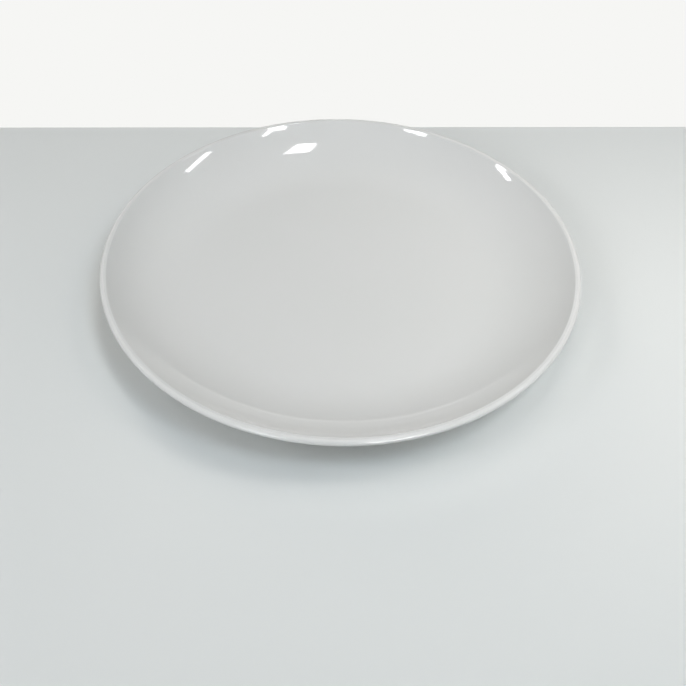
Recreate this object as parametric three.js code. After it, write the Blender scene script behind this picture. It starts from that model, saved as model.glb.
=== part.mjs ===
// Round coupe dinner plate pressed in white melamine. Millimetres, +Z up.
// The origin is on the plate's axis, in the plane that the foot ring stands on.
import * as THREE from 'three';

// Outline of the plate
const plateDiameter = 254; // across the outside of the lip
const plateHeight = 23; // from the table to the top of the lip
const wellDiameter = 160; // flat part of the eating face
const floorThickness = 3.4; // under the flat part, glaze included

// Lip: a narrow level land, where the flash of the mould is ground off, between two rounded edges
const lipWidth = 2.9; // from the inner end of the land to the outside of the plate
const lipOuterRadius = 1.5; // rounds the land over into the underside
const lipInnerRadius = 1; // rounds the land over into the eating face

// Foot ring, pressed in one with the floor
const footDiameter = 150; // across the outside of the resting land
const footLandWidth = 3.2;
const footHeight = 2.4; // from the table to the underside of the floor
const footDraft = 0.9; // how far each side of the foot leans out over its height
const footEdgeRadius = 0.7; // rounds both edges of the resting land

// Clear glaze, pressed over the eating face in a second shot
const glazeThickness = 0.3;
const bondGap = 0.02; // between the glaze and the body under it

// Fineness of the surfaces, in steps
const turnSteps = 72;
const sideSteps = 10;
const edgeSteps = 4;

const plateRadius = plateDiameter / 2;
const wellRadius = wellDiameter / 2;
const floorTop = footHeight + floorThickness;

// Centres of the lip's two rounded edges, in section
const outerEdge = new THREE.Vector2(plateRadius - lipOuterRadius, plateHeight - lipOuterRadius);
const innerEdge = new THREE.Vector2(plateRadius - lipWidth, plateHeight - lipInnerRadius);
const glazeEnd = (innerEdge.x + outerEdge.x) / 2; // the glaze stops at the middle of the land

// The side rises from the floor in two arcs, one on the eating face and one underneath. Each starts
// level where the flat part ends, and its radius makes it tangent to the lip's edge on its own side.
function sideArc(floorHeight, edge, signedEdgeRadius) {
  const run = edge.x - wellRadius;
  const rise = edge.y - floorHeight;
  const radius = (run ** 2 + rise ** 2 - signedEdgeRadius ** 2) / (2 * (rise + signedEdgeRadius));
  const centre = new THREE.Vector2(wellRadius, floorHeight + radius);
  const end = Math.atan2(edge.y - centre.y, edge.x - centre.x);
  return { centre, radius, end };
}

const faceArc = sideArc(floorTop, innerEdge, lipInnerRadius);
const underArc = sideArc(footHeight, outerEdge, -lipOuterRadius);

const down = -Math.PI / 2;
const outward = 0;
const up = Math.PI / 2;

// Points along an arc of the section, from one angle to the other, both ends included
function arcPoints(centre, radius, from, to, steps) {
  const arc = new THREE.EllipseCurve(centre.x, centre.y, radius, radius, from, to, to < from);
  return arc.getPoints(steps);
}

// The eating face in section, sunk below its surface by a depth, from the axis to the middle of the land
function faceProfile(depth, endGap) {
  return [
    new THREE.Vector2(0, floorTop - depth),
    ...arcPoints(faceArc.centre, faceArc.radius + depth, down, faceArc.end, sideSteps),
    ...arcPoints(innerEdge, lipInnerRadius - depth, faceArc.end + Math.PI, up, edgeSteps).slice(1),
    new THREE.Vector2(glazeEnd - endGap, plateHeight - depth),
  ];
}

// The underside in section without its foot, from the axis over the lip to the middle of the land
function undersideProfile() {
  return [
    new THREE.Vector2(0, footHeight),
    ...arcPoints(underArc.centre, underArc.radius, down, underArc.end, sideSteps),
    ...arcPoints(outerEdge, lipOuterRadius, underArc.end, outward, edgeSteps).slice(1),
    ...arcPoints(outerEdge, lipOuterRadius, outward, up, edgeSteps).slice(1),
    new THREE.Vector2(glazeEnd, plateHeight),
  ];
}

function undersideHeight(radius) {
  const run = Math.max(radius - wellRadius, 0);
  return underArc.centre.y - Math.sqrt(underArc.radius ** 2 - run ** 2);
}

// One side of the foot ring in section, from the underside down to the resting land. The side leans
// away from the land by the draft, and an arc tangent to both rounds the corner between them.
function footSide(landEdge, lean) {
  const root = new THREE.Vector2(landEdge + lean, undersideHeight(landEdge + lean));
  const tilt = Math.atan2(Math.abs(lean), root.y);
  const setBack = footEdgeRadius * Math.tan((up - tilt) / 2);
  const leansOut = lean > 0;
  const centre = new THREE.Vector2(leansOut ? landEdge - setBack : landEdge + setBack, footEdgeRadius);
  const sideAngle = leansOut ? -tilt : Math.PI + tilt;
  const landAngle = leansOut ? down : down + 2 * Math.PI;
  return [root, ...arcPoints(centre, footEdgeRadius, sideAngle, landAngle, edgeSteps)];
}

function bodyProfile() {
  const footOutside = footSide(footDiameter / 2, footDraft);
  const footInside = footSide(footDiameter / 2 - footLandWidth, -footDraft);
  const underside = undersideProfile();
  return [
    ...underside.filter((point) => point.x < footInside[0].x),
    ...footInside,
    ...footOutside.toReversed(),
    ...underside.filter((point) => point.x > footOutside[0].x),
    ...faceProfile(glazeThickness + bondGap, 0).toReversed(),
  ];
}

function glazeProfile() {
  return [...faceProfile(glazeThickness, bondGap), ...faceProfile(0, bondGap).toReversed()];
}

// Turns a section about the plate's axis, which is stood up along +Z
function turned(name, profile, finish) {
  const geometry = new THREE.LatheGeometry(profile, turnSteps).rotateX(Math.PI / 2);
  const mesh = new THREE.Mesh(geometry, new THREE.MeshStandardMaterial(finish));
  mesh.name = name;
  return mesh;
}

const plate = new THREE.Group();
plate.name = 'melamine_plate';
plate.add(turned('plate_body', bodyProfile(), { color: 0xdedfde, roughness: 0.4, metalness: 0 }));
plate.add(turned('face_glaze', glazeProfile(), { color: 0xe2e3e2, roughness: 0.1, metalness: 0 }));

export default plate;
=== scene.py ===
# White melamine coupe plate on a pale table. Metres, +Z up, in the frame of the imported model.
from math import atan2, cos, hypot, pi, radians, sin, tan

import bmesh
import bpy
from mathutils import Matrix, Vector


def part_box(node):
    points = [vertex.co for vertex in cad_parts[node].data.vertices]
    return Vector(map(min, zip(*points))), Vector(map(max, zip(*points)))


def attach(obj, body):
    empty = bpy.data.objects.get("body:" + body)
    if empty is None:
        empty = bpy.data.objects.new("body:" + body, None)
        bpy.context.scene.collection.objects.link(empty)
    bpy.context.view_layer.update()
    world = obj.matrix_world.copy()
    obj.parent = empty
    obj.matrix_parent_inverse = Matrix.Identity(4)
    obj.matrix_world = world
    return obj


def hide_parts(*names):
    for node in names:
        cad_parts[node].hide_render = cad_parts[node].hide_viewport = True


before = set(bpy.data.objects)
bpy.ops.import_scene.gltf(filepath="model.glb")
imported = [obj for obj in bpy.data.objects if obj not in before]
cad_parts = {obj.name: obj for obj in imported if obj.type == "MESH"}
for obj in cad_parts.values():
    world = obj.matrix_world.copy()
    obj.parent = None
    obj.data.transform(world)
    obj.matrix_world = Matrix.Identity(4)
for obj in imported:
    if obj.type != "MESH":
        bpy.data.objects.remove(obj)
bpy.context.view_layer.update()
bodyLow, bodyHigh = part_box("plate_body")
glazeLow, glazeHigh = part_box("face_glaze")
mm = 0.001
down, outward, up = -pi / 2, 0, pi / 2  # directions in the section
sharpAngle = radians(40)  # edges that turn by more stay crisp
print("frame loaded, plate", round(bodyHigh.x * 2 / mm), "mm across")


def linearColour(hexColour):
    channels = [int(hexColour[i:i + 2], 16) / 255 for i in (1, 3, 5)]
    return (*[c / 12.92 if c <= 0.04045 else ((c + 0.055) / 1.055) ** 2.4 for c in channels], 1)


# Adds one node: settings by name, and each socket takes a value or a link from another node
def addNode(tree, kind, sockets, **settings):
    node = tree.nodes.new("ShaderNode" + kind)
    for name, value in settings.items():
        setattr(node, name, value)
    for socket, value in sockets.items():
        if isinstance(value, bpy.types.NodeSocket):
            tree.links.new(value, node.inputs[socket])
        else:
            node.inputs[socket].default_value = value
    return node


def newMaterial(name):
    material = bpy.data.materials.new(name)
    material.use_nodes = True
    material.node_tree.nodes.clear()
    return material, material.node_tree


# Section of the plate, with the same arcs as the solids
section = {
    "wellRadius": 80 * mm,
    "lipWidth": 2.9 * mm,
    "lipOuterRadius": 1.5 * mm,
    "lipInnerRadius": 1.0 * mm,
    "glazeThickness": 0.3 * mm,
    "bondGap": 0.02 * mm,
    "floorThickness": 3.4 * mm,
    "turnSteps": 288,
    "sideSteps": 48,
    "edgeSteps": 10,
    "mergeDistance": 0.001 * mm,
}
plateRadius, plateHeight = bodyHigh.x, bodyHigh.z
floorTop = glazeLow.z + section["glazeThickness"]
floorUnder = floorTop - section["floorThickness"]
outerEdge = Vector((plateRadius - section["lipOuterRadius"], plateHeight - section["lipOuterRadius"]))
innerEdge = Vector((plateRadius - section["lipWidth"], plateHeight - section["lipInnerRadius"]))
glazeEnd = glazeHigh.x


def arcPoints(centre, radius, start, end, steps):
    angles = [start + (end - start) * i / steps for i in range(steps + 1)]
    return [centre + radius * Vector((cos(a), sin(a))) for a in angles]


# The side's arc starts level at the well's edge and ends tangent to one of the lip's rounds
def sideArc(floorHeight, edge, signedRadius):
    run = edge.x - section["wellRadius"]
    rise = edge.y - floorHeight
    radius = (run ** 2 + rise ** 2 - signedRadius ** 2) / (2 * (rise + signedRadius))
    centre = Vector((section["wellRadius"], floorHeight + radius))
    return centre, radius, atan2(edge.y - centre.y, edge.x - centre.x)


# A polyline with each inner corner rounded by its own radius: entries are (across, height, radius)
def roundedLine(corners):
    points = [Vector(corners[0][:2])]
    for before, corner, after in zip(corners, corners[1:], corners[2:]):
        here = Vector(corner[:2])
        back = (Vector(before[:2]) - here).normalized()
        on = (Vector(after[:2]) - here).normalized()
        half = back.angle(on) / 2
        centre = here + (back + on).normalized() * corner[2] / sin(half)
        start, end = [here + side * corner[2] / tan(half) - centre for side in (back, on)]
        turn = start.angle_signed(end)
        startAngle = atan2(start.y, start.x)
        points += arcPoints(centre, corner[2], startAngle, startAngle - turn, section["edgeSteps"])
    return points + [Vector(corners[-1][:2])]


# The eating face, sunk below its surface by a depth, from the axis to the inner end of the lip's land
def faceLine(depth):
    centre, radius, end = sideArc(floorTop, innerEdge, section["lipInnerRadius"])
    side = arcPoints(centre, radius + depth, down, end, section["sideSteps"])
    edge = arcPoints(innerEdge, section["lipInnerRadius"] - depth, end + pi, up, section["edgeSteps"])
    return [Vector((0, floorTop - depth))] + side + edge[1:]


# Pressing leaves the lip a little out of true, the same for both layers, and the foot flat
warp = {
    "lobes": ((2, 0.10 * mm, 0.7), (3, 0.05 * mm, 2.1), (7, 0.012 * mm, 0.4)),  # count, height, phase
}


def warpHeight(point):
    share = max(hypot(point.x, point.y) - section["wellRadius"], 0) / (plateRadius - section["wellRadius"])
    turn = atan2(point.y, point.x)
    return share ** 2 * sum(height * sin(count * turn + phase) for count, height, phase in warp["lobes"])


# Turns a closed section into a solid mesh about the plate's axis
def turnedPiece(name, line, node):
    bm = bmesh.new()
    verts = [bm.verts.new((point.x, 0, point.y)) for point in line]
    edges = [bm.edges.new(pair) for pair in zip(verts, verts[1:])]
    if line[0].x > 0 or line[-1].x > 0:
        edges.append(bm.edges.new((verts[-1], verts[0])))
    bmesh.ops.spin(bm, geom=verts + edges, cent=(0, 0, 0), axis=(0, 0, 1), angle=2 * pi,
                   steps=section["turnSteps"], use_merge=True, use_duplicate=False)
    bmesh.ops.remove_doubles(bm, verts=bm.verts, dist=section["mergeDistance"])
    for vert in bm.verts:
        vert.co.z += warpHeight(vert.co)
    bmesh.ops.recalc_face_normals(bm, faces=bm.faces)
    mesh = bpy.data.meshes.new(name)
    bm.to_mesh(mesh)
    bm.free()
    mesh.shade_smooth()
    mesh.set_sharp_from_angle(angle=sharpAngle)
    piece = bpy.data.objects.new(name, mesh)
    bpy.context.scene.collection.objects.link(piece)
    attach(piece, "root")
    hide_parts(node)
    print(name, "has", len(mesh.polygons), "faces")
    return piece


# Body: one pressed shot of white melamine, with the foot ring and a shallow round seat left by
# the mould's insert under the floor
body = {
    "footInside": 71.8 * mm,
    "footOutside": 75 * mm,
    "footDraft": 0.9 * mm,
    "footEdge": 0.7 * mm,
    "footRoot": 1.2 * mm,
    "insertRadius": 31 * mm,
    "insertDepth": 0.2 * mm,
    "insertEdge": 0.4 * mm,
    "seamChamfer": 0.015 * mm,
}


def bodySection():
    seat = floorUnder + body["insertDepth"]
    underside = roundedLine([
        (0, seat, 0),
        (body["insertRadius"], seat, body["insertEdge"] / 2),
        (body["insertRadius"] + body["insertEdge"], floorUnder, body["insertEdge"] / 2),
        (body["footInside"] - body["footDraft"], floorUnder, body["footRoot"]),
        (body["footInside"], bodyLow.z, body["footEdge"]),
        (body["footOutside"], bodyLow.z, body["footEdge"]),
        (body["footOutside"] + body["footDraft"], floorUnder, body["footRoot"]),
        (section["wellRadius"], floorUnder, 0),
    ])
    centre, radius, end = sideArc(floorUnder, outerEdge, -section["lipOuterRadius"])
    side = arcPoints(centre, radius, down, end, section["sideSteps"])
    lip = arcPoints(outerEdge, section["lipOuterRadius"], end, outward, section["edgeSteps"])
    lip += arcPoints(outerEdge, section["lipOuterRadius"], outward, up, section["edgeSteps"])[1:]
    seamAt = glazeEnd + section["bondGap"]
    seam = [
        Vector((seamAt + body["seamChamfer"], plateHeight)),
        Vector((seamAt, plateHeight - body["seamChamfer"])),
    ]
    under = faceLine(section["glazeThickness"] + section["bondGap"])
    rebate = [Vector((seamAt, under[-1].y))]
    return underside[:-1] + side + lip[1:] + seam + rebate + under[::-1]


pressedBody = turnedPiece("pressed_body", bodySection(), "plate_body")

# Glaze: a thin clear shot over the eating face, which ends at a hairline seam on the lip's land
glaze = {"seamChamfer": 0.015 * mm}


def glazeSection():
    lower = faceLine(section["glazeThickness"])
    upper = faceLine(0)
    end = [
        Vector((glazeEnd, lower[-1].y)),
        Vector((glazeEnd, plateHeight - glaze["seamChamfer"])),
        Vector((glazeEnd - glaze["seamChamfer"], plateHeight)),
    ]
    return lower + end + upper[::-1]


pressedGlaze = turnedPiece("pressed_glaze", glazeSection(), "face_glaze")

# Melamine overglaze, pressed against polished steel: clean cool white under a hard, wet-looking gloss.
# Reflections stay sharp but waver a little, and cutlery leaves hairlines that only dull them.
overglaze = {
    "white": "#E2E2E1",
    "whiteCloud": "#DFE0DE",
    "cloudSize": 60 * mm,
    "ior": 1.6,
    "roughness": (0.04, 0.07),
    "dullRange": (0.3, 1.1),  # from the glossiest patch to the dullest hairline
    "patchSize": 35 * mm,
    "waveSize": 14 * mm,
    "waveHeight": 0.012 * mm,
    "hairLength": 22 * mm,
    "hairWidth": 0.25 * mm,  # real ones are near 0.02 mm, drawn wider to show
    "hairHeight": 0.0006 * mm,
    "hairTurns": (0.4, 1.5, 2.7),
    "hairBand": (0.70, 0.76),  # only the peaks of the noise become hairlines
    "hairDulling": 0.5,
}


def makeOverglaze():
    material, tree = newMaterial("melamineOverglazePressed")
    place = addNode(tree, "TexCoord", {}).outputs["Object"]
    cloud = addNode(tree, "TexNoise", {"Vector": place, "Scale": 1 / overglaze["cloudSize"], "Detail": 3})
    colour = addNode(tree, "Mix", {
        "Factor": cloud.outputs["Fac"],
        "A": linearColour(overglaze["white"]),
        "B": linearColour(overglaze["whiteCloud"]),
    }, data_type="RGBA")
    patch = addNode(tree, "TexNoise", {"Vector": place, "Scale": 1 / overglaze["patchSize"], "Detail": 5})
    lines = []
    for turn in overglaze["hairTurns"]:
        turned = addNode(tree, "Mapping", {
            "Vector": place,
            "Rotation": (0, 0, turn),
            "Scale": (1 / overglaze["hairLength"], 1 / overglaze["hairWidth"], 0),
        })
        streak = addNode(tree, "TexNoise", {"Vector": turned.outputs[0], "Scale": 1, "Detail": 1})
        line = addNode(tree, "MapRange", {
            "Value": streak.outputs["Fac"],
            "From Min": overglaze["hairBand"][0],
            "From Max": overglaze["hairBand"][1],
        })
        lines.append(line.outputs[0])
    hairs = lines[0]
    for line in lines[1:]:
        hairs = addNode(tree, "Math", {0: hairs, 1: line}, operation="MAXIMUM").outputs[0]
    dull = addNode(tree, "Math", {0: hairs, 1: overglaze["hairDulling"], 2: patch.outputs["Fac"]},
                   operation="MULTIPLY_ADD")
    roughness = addNode(tree, "MapRange", {
        "Value": dull.outputs[0],
        "From Min": overglaze["dullRange"][0],
        "From Max": overglaze["dullRange"][1],
        "To Min": overglaze["roughness"][0],
        "To Max": overglaze["roughness"][1],
    })
    wave = addNode(tree, "TexNoise", {"Vector": place, "Scale": 1 / overglaze["waveSize"], "Detail": 1})
    waved = addNode(tree, "Bump", {"Height": wave.outputs["Fac"], "Distance": overglaze["waveHeight"]})
    scored = addNode(tree, "Bump", {
        "Height": hairs,
        "Distance": overglaze["hairHeight"],
        "Normal": waved.outputs[0],
    }, invert=True)
    shader = addNode(tree, "BsdfPrincipled", {
        "Base Color": colour.outputs["Result"],
        "Roughness": roughness.outputs[0],
        "IOR": overglaze["ior"],
        "Normal": scored.outputs[0],
    })
    addNode(tree, "OutputMaterial", {"Surface": shader.outputs[0]})
    return material


pressedGlaze.data.materials.append(makeOverglaze())

# Melamine moulding compound, pressed in a satin mould: even white with a soft sheen, faint rings
# from the turned mould, and a lip that is ground and buffed all round, so it is glossier. The lip's
# white is painted lighter than the satin white, a painted highlight for the light its top catches
compound = {
    "satinWhite": ("#DFE0DF", "#DCDDDB"),
    # the lip's lighter white is a painted highlight for the light its top catches
    "buffedWhite": ("#EAEAE9", "#E7E7E5"),
    "cloudSize": 45 * mm,
    "cloudRange": (0.3, 0.7),
    "ior": 1.6,
    "satinRoughness": (0.28, 0.38),
    "buffedRoughness": (0.08, 0.14),
    "ringSpacing": 0.9 * mm,  # turning feed is nearer 0.2 mm, drawn wider to show
    "ringHeight": 0.0008 * mm,
    "grainSize": 0.35 * mm,
    "satinGrainHeight": 0.002 * mm,
    "buffedGrainHeight": 0.00025 * mm,
}


def makeCompound(name, finish):
    material, tree = newMaterial(name)
    whites, roughnessRange = compound[finish + "White"], compound[finish + "Roughness"]
    place = addNode(tree, "TexCoord", {}).outputs["Object"]
    cloud = addNode(tree, "TexNoise", {"Vector": place, "Scale": 1 / compound["cloudSize"], "Detail": 4})
    colour = addNode(tree, "Mix", {
        "Factor": cloud.outputs["Fac"],
        "A": linearColour(whites[0]),
        "B": linearColour(whites[1]),
    }, data_type="RGBA")
    roughness = addNode(tree, "MapRange", {
        "Value": cloud.outputs["Fac"],
        "From Min": compound["cloudRange"][0],
        "From Max": compound["cloudRange"][1],
        "To Min": roughnessRange[0],
        "To Max": roughnessRange[1],
    })
    level = addNode(tree, "VectorMath", {0: place, 1: (1, 1, 0)}, operation="MULTIPLY")
    radius = addNode(tree, "VectorMath", {0: level.outputs[0]}, operation="LENGTH")
    rings = addNode(tree, "TexNoise", {
        "W": radius.outputs["Value"],
        "Scale": 1 / compound["ringSpacing"],
        "Detail": 2,
    }, noise_dimensions="1D")
    ringed = addNode(tree, "Bump", {"Height": rings.outputs["Fac"], "Distance": compound["ringHeight"]})
    grain = addNode(tree, "TexNoise", {"Vector": place, "Scale": 1 / compound["grainSize"], "Detail": 2})
    grained = addNode(tree, "Bump", {
        "Height": grain.outputs["Fac"],
        "Distance": compound[finish + "GrainHeight"],
        "Normal": ringed.outputs[0],
    })
    shader = addNode(tree, "BsdfPrincipled", {
        "Base Color": colour.outputs["Result"],
        "Roughness": roughness.outputs[0],
        "IOR": compound["ior"],
        "Normal": grained.outputs[0],
    })
    addNode(tree, "OutputMaterial", {"Surface": shader.outputs[0]})
    return material


pressedBody.data.materials.append(makeCompound("melamineMouldedSatin", "satin"))
pressedBody.data.materials.append(makeCompound("melamineGroundBuffedPaintedHighlight", "buffed"))
# the lip above its widest line takes the buffed gloss and the lighter white of its painted highlight
for face in pressedBody.data.polygons:
    if face.center.z > outerEdge.y:  # the lip, above its widest line
        face.material_index = 1
print("melamine finishes made")

# Pale table top, which ends behind the plate
table = {
    "edgeAt": Vector((-1.7 * mm, 152.4 * mm)),
    "edgeTurn": radians(2.76),
    "width": 2.6,
    "depth": 1.8,
    "thickness": 24 * mm,
    "edgeRadius": 1.5 * mm,
    "edgeSegments": 4,
    "edgeProfile": 0.5,  # a true round
    "colour": "#E9EBEA",
    "colourCloud": "#E6E9E8",
    "cloudSize": 160 * mm,
    "roughness": 0.8,
    "ior": 1.45,
    "grainSize": 0.8 * mm,
    "grainHeight": 0.004 * mm,
}


def makeTable():
    bm = bmesh.new()
    bmesh.ops.create_cube(bm, size=1)
    bmesh.ops.scale(bm, verts=bm.verts, vec=(table["width"], table["depth"], table["thickness"]))
    bmesh.ops.translate(bm, verts=bm.verts, vec=(0, -table["depth"] / 2, -table["thickness"] / 2))
    bmesh.ops.bevel(bm, geom=bm.edges[:], offset=table["edgeRadius"], segments=table["edgeSegments"],
                    profile=table["edgeProfile"], affect="EDGES")
    mesh = bpy.data.meshes.new("pale_table")
    bm.to_mesh(mesh)
    bm.free()
    mesh.shade_smooth()
    mesh.set_sharp_from_angle(angle=sharpAngle)
    top = bpy.data.objects.new("pale_table", mesh)
    top.matrix_world = (Matrix.Translation((*table["edgeAt"], bodyLow.z))
                        @ Matrix.Rotation(table["edgeTurn"], 4, "Z"))
    bpy.context.scene.collection.objects.link(top)

    # Matt laminate, pressed: an even pale grey with hardly any sheen
    material, tree = newMaterial("laminateMattPressed")
    place = addNode(tree, "TexCoord", {}).outputs["Object"]
    cloud = addNode(tree, "TexNoise", {"Vector": place, "Scale": 1 / table["cloudSize"], "Detail": 2})
    colour = addNode(tree, "Mix", {
        "Factor": cloud.outputs["Fac"],
        "A": linearColour(table["colour"]),
        "B": linearColour(table["colourCloud"]),
    }, data_type="RGBA")
    grain = addNode(tree, "TexNoise", {"Vector": place, "Scale": 1 / table["grainSize"], "Detail": 2})
    grained = addNode(tree, "Bump", {"Height": grain.outputs["Fac"], "Distance": table["grainHeight"]})
    shader = addNode(tree, "BsdfPrincipled", {
        "Base Color": colour.outputs["Result"],
        "Roughness": table["roughness"],
        "IOR": table["ior"],
        "Normal": grained.outputs[0],
    })
    addNode(tree, "OutputMaterial", {"Surface": shader.outputs[0]})
    mesh.materials.append(material)


makeTable()
print("table made")

# Room: a pale wall all round, which the camera sees as it is. In the gloss it is dim, but for daylight
# high up at the back right and a short pale strip low down. A little even light falls from the ceiling.
room = {
    "wall": "#F6F6F4",
    "ceilingLight": "#FDFEFF",
    "ceilingStrength": 0.05,
    "dimGloss": 0.24,
    "daylightGloss": 0.66,
    "daylightAzimuth": radians(60),  # from +X towards the back
    "daylightHeight": radians(48),
    "daylightFocus": 8,
    "stripGloss": 1.15,
    "stripHeight": sin(radians(4.9)),
    "stripCore": sin(radians(0.7)),  # up and down from its middle
    "stripFade": sin(radians(1.8)),
    "stripHalf": sin(radians(5)),  # to either side
    "stripEnd": sin(radians(19)),
}


def makeRoom():
    world = bpy.data.worlds.new("pale_room")
    bpy.context.scene.world = world
    world.use_nodes = True
    tree = world.node_tree
    tree.nodes.clear()
    direction = addNode(tree, "TexCoord", {}).outputs["Generated"]
    toward = addNode(tree, "SeparateXYZ", {0: direction}).outputs

    # Ceiling light, strongest straight above
    above = addNode(tree, "Math", {0: toward["Z"], 1: 0}, operation="MAXIMUM").outputs[0]
    overhead = addNode(tree, "Math", {0: above, 1: above}, operation="MULTIPLY").outputs[0]
    strength = addNode(tree, "Math", {0: overhead, 1: room["ceilingStrength"]}, operation="MULTIPLY")
    ceiling = addNode(tree, "Background", {
        "Color": linearColour(room["ceilingLight"]),
        "Strength": strength.outputs[0],
    })

    # Daylight, a soft round glow in the gloss
    reach = cos(room["daylightHeight"])
    toDaylight = (
        reach * cos(room["daylightAzimuth"]),
        reach * sin(room["daylightAzimuth"]),
        sin(room["daylightHeight"]),
    )
    facing = addNode(tree, "VectorMath", {0: direction, 1: toDaylight}, operation="DOT_PRODUCT")
    near = addNode(tree, "Math", {0: facing.outputs["Value"], 1: 0}, operation="MAXIMUM").outputs[0]
    glow = addNode(tree, "Math", {0: near, 1: room["daylightFocus"]}, operation="POWER").outputs[0]

    # Strip, which leaves a faint ring inside the near side of the plate
    offStrip = addNode(tree, "Math", {0: toward["Z"], 1: room["stripHeight"]}, operation="SUBTRACT")
    across = addNode(tree, "MapRange", {
        "Value": addNode(tree, "Math", {0: offStrip.outputs[0]}, operation="ABSOLUTE").outputs[0],
        "From Min": room["stripCore"],
        "From Max": room["stripFade"],
        "To Min": room["stripGloss"],
        "To Max": 0,
    }, interpolation_type="SMOOTHSTEP").outputs[0]
    along = addNode(tree, "MapRange", {
        "Value": addNode(tree, "Math", {0: toward["X"]}, operation="ABSOLUTE").outputs[0],
        "From Min": room["stripHalf"],
        "From Max": room["stripEnd"],
        "To Min": 1,
        "To Max": 0,
    }, interpolation_type="SMOOTHSTEP").outputs[0]
    strip = addNode(tree, "Math", {0: across, 1: along, 2: room["dimGloss"] - 1},
                    operation="MULTIPLY_ADD").outputs[0]

    # The wall has a strength of 1 to the camera, and in the gloss the dim level, the glow and the strip
    dimmed = addNode(tree, "Math", {0: glow, 1: room["daylightGloss"], 2: strip}, operation="MULTIPLY_ADD")
    path = addNode(tree, "LightPath", {}).outputs
    shade = addNode(tree, "Math", {0: path["Is Glossy Ray"], 1: dimmed.outputs[0], 2: 1},
                    operation="MULTIPLY_ADD")
    wall = addNode(tree, "Background", {"Color": linearColour(room["wall"]), "Strength": shade.outputs[0]})
    direct = addNode(tree, "Math", {0: path["Is Camera Ray"], 1: path["Is Transmission Ray"]},
                     operation="MAXIMUM")
    seen = addNode(tree, "Math", {0: direct.outputs[0], 1: path["Is Glossy Ray"]}, operation="MAXIMUM")
    shown = addNode(tree, "MixShader", {0: seen.outputs[0], 1: ceiling.outputs[0], 2: wall.outputs[0]})
    addNode(tree, "OutputWorld", {"Surface": shown.outputs[0]})


makeRoom()

# Softboxes light the plate from all round, and a grid narrows the beam of the one close by. Small
# ceiling panels light it too and show in the gloss. Two cards show in the gloss alone: a wide one at
# the front right brightens the lip, and a bright one at the front makes the streak on it.
lamps = {
    "softboxRight": {
        "at": (0.36, -0.03, 0.30), "size": (0.2, 0.45), "radiance": 1.38, "colour": "#FFF9F2",
        "spread": radians(140),
    },
    "softboxLeft": {"at": (-0.70, -0.28, 0.58), "size": (0.3, 0.3), "radiance": 4.5, "colour": "#FBFDFF"},
    "softboxFrontLeft": {"at": (-1.14, -1.98, 1.02), "size": (0.88, 0.88), "radiance": 6.3, "seen": "both"},
    "softboxFrontRight": {
        "at": (0.46, -0.46, 1.13), "size": (0.46, 0.46), "radiance": 5.5, "colour": "#E4F4FF",
    },
    "softboxBack": {"at": (0, 1.25, 2.17), "size": (0.88, 0.88), "radiance": 3.0, "colour": "#FFFBF5"},
    "softboxBackLeft": {
        "at": (-1.14, 1.98, 1.02), "size": (0.88, 0.88), "radiance": 3.1, "colour": "#FFF7EC",
    },
    "cardFrontRight": {"at": (0.92, -0.53, 0.56), "size": (1.3, 0.4), "radiance": 2.5, "seen": "gloss"},
    "cardFront": {"at": (0.42, -0.97, 0.56), "size": (0.48, 0.3), "radiance": 18, "seen": "gloss"},
}
panels = {
    "panelFarRight": {"at": (0.703, 0.163), "size": (0.058, 0.25), "turn": 0},
    "panelMiddle": {"at": (0.129, 0.105), "size": (0.074, 0.16), "turn": 0},
    "panelRight": {"at": (0.36, -0.283), "size": (0.1, 0.052), "turn": 0},
    "panelRightEnd": {"at": (0.391, -0.212), "size": (0.032, 0.095), "turn": 0},
    "panelLeft": {"at": (-0.386, -0.283), "size": (0.13, 0.048), "turn": radians(-38)},
    "panelFarLeft": {"at": (-0.868, 0.212), "size": (0.082, 0.19), "turn": radians(-10)},
}
panelHeight = 1.0
panelRadiance = 20


# Aims at the plate, or straight down where a turn is given. Seen is what it does: light, gloss or both.
def makeLamp(name, at, size, radiance, colour="#FFFFFF", seen="light", turn=None, spread=pi):
    light = bpy.data.lights.new(name, "AREA")
    light.shape = "RECTANGLE"
    light.size, light.size_y = size
    light.energy = radiance * pi * light.size * light.size_y
    light.color = linearColour(colour)[:3]
    light.spread = spread
    holder = bpy.data.objects.new(name, light)
    holder.location = at
    if turn is None:
        holder.rotation_euler = (-Vector(at)).to_track_quat("-Z", "Y").to_euler()
    else:
        holder.rotation_euler.z = turn
    holder.visible_camera = False
    holder.visible_diffuse = seen != "gloss"
    holder.visible_glossy = seen != "light"
    bpy.context.scene.collection.objects.link(holder)


for name, lamp in lamps.items():
    makeLamp(name, **lamp)
for name, panel in panels.items():
    place = (*panel["at"], panelHeight)
    makeLamp(name, place, panel["size"], panelRadiance, seen="both", turn=panel["turn"])
print("room and", len(lamps) + len(panels), "lamps made")

# Camera at the photograph's viewing angle
view = {
    "distance": 0.5,  # from the middle of the rim
    "elevation": radians(41.31),
    "aside": 2.13 * mm,
    "pitch": radians(46.86),
    "roll": radians(1.52),
    "lens": 48.88,
    "sensor": 36,
    "nearest": 10 * mm,
}


def makeCamera():
    camera = bpy.data.cameras.new("photo_camera")
    camera.sensor_width = view["sensor"]
    camera.lens = view["lens"]
    camera.clip_start = view["nearest"]
    holder = bpy.data.objects.new("photo_camera", camera)
    eye = (
        view["aside"],
        -view["distance"] * cos(view["elevation"]),
        plateHeight + view["distance"] * sin(view["elevation"]),
    )
    holder.matrix_world = (Matrix.Translation(eye) @ Matrix.Rotation(pi / 2 - view["pitch"], 4, "X")
                           @ Matrix.Rotation(view["roll"], 4, "Z"))
    bpy.context.scene.collection.objects.link(holder)
    bpy.context.scene.camera = holder


makeCamera()
bpy.context.scene.view_settings.view_transform = "Standard"
print("camera set")
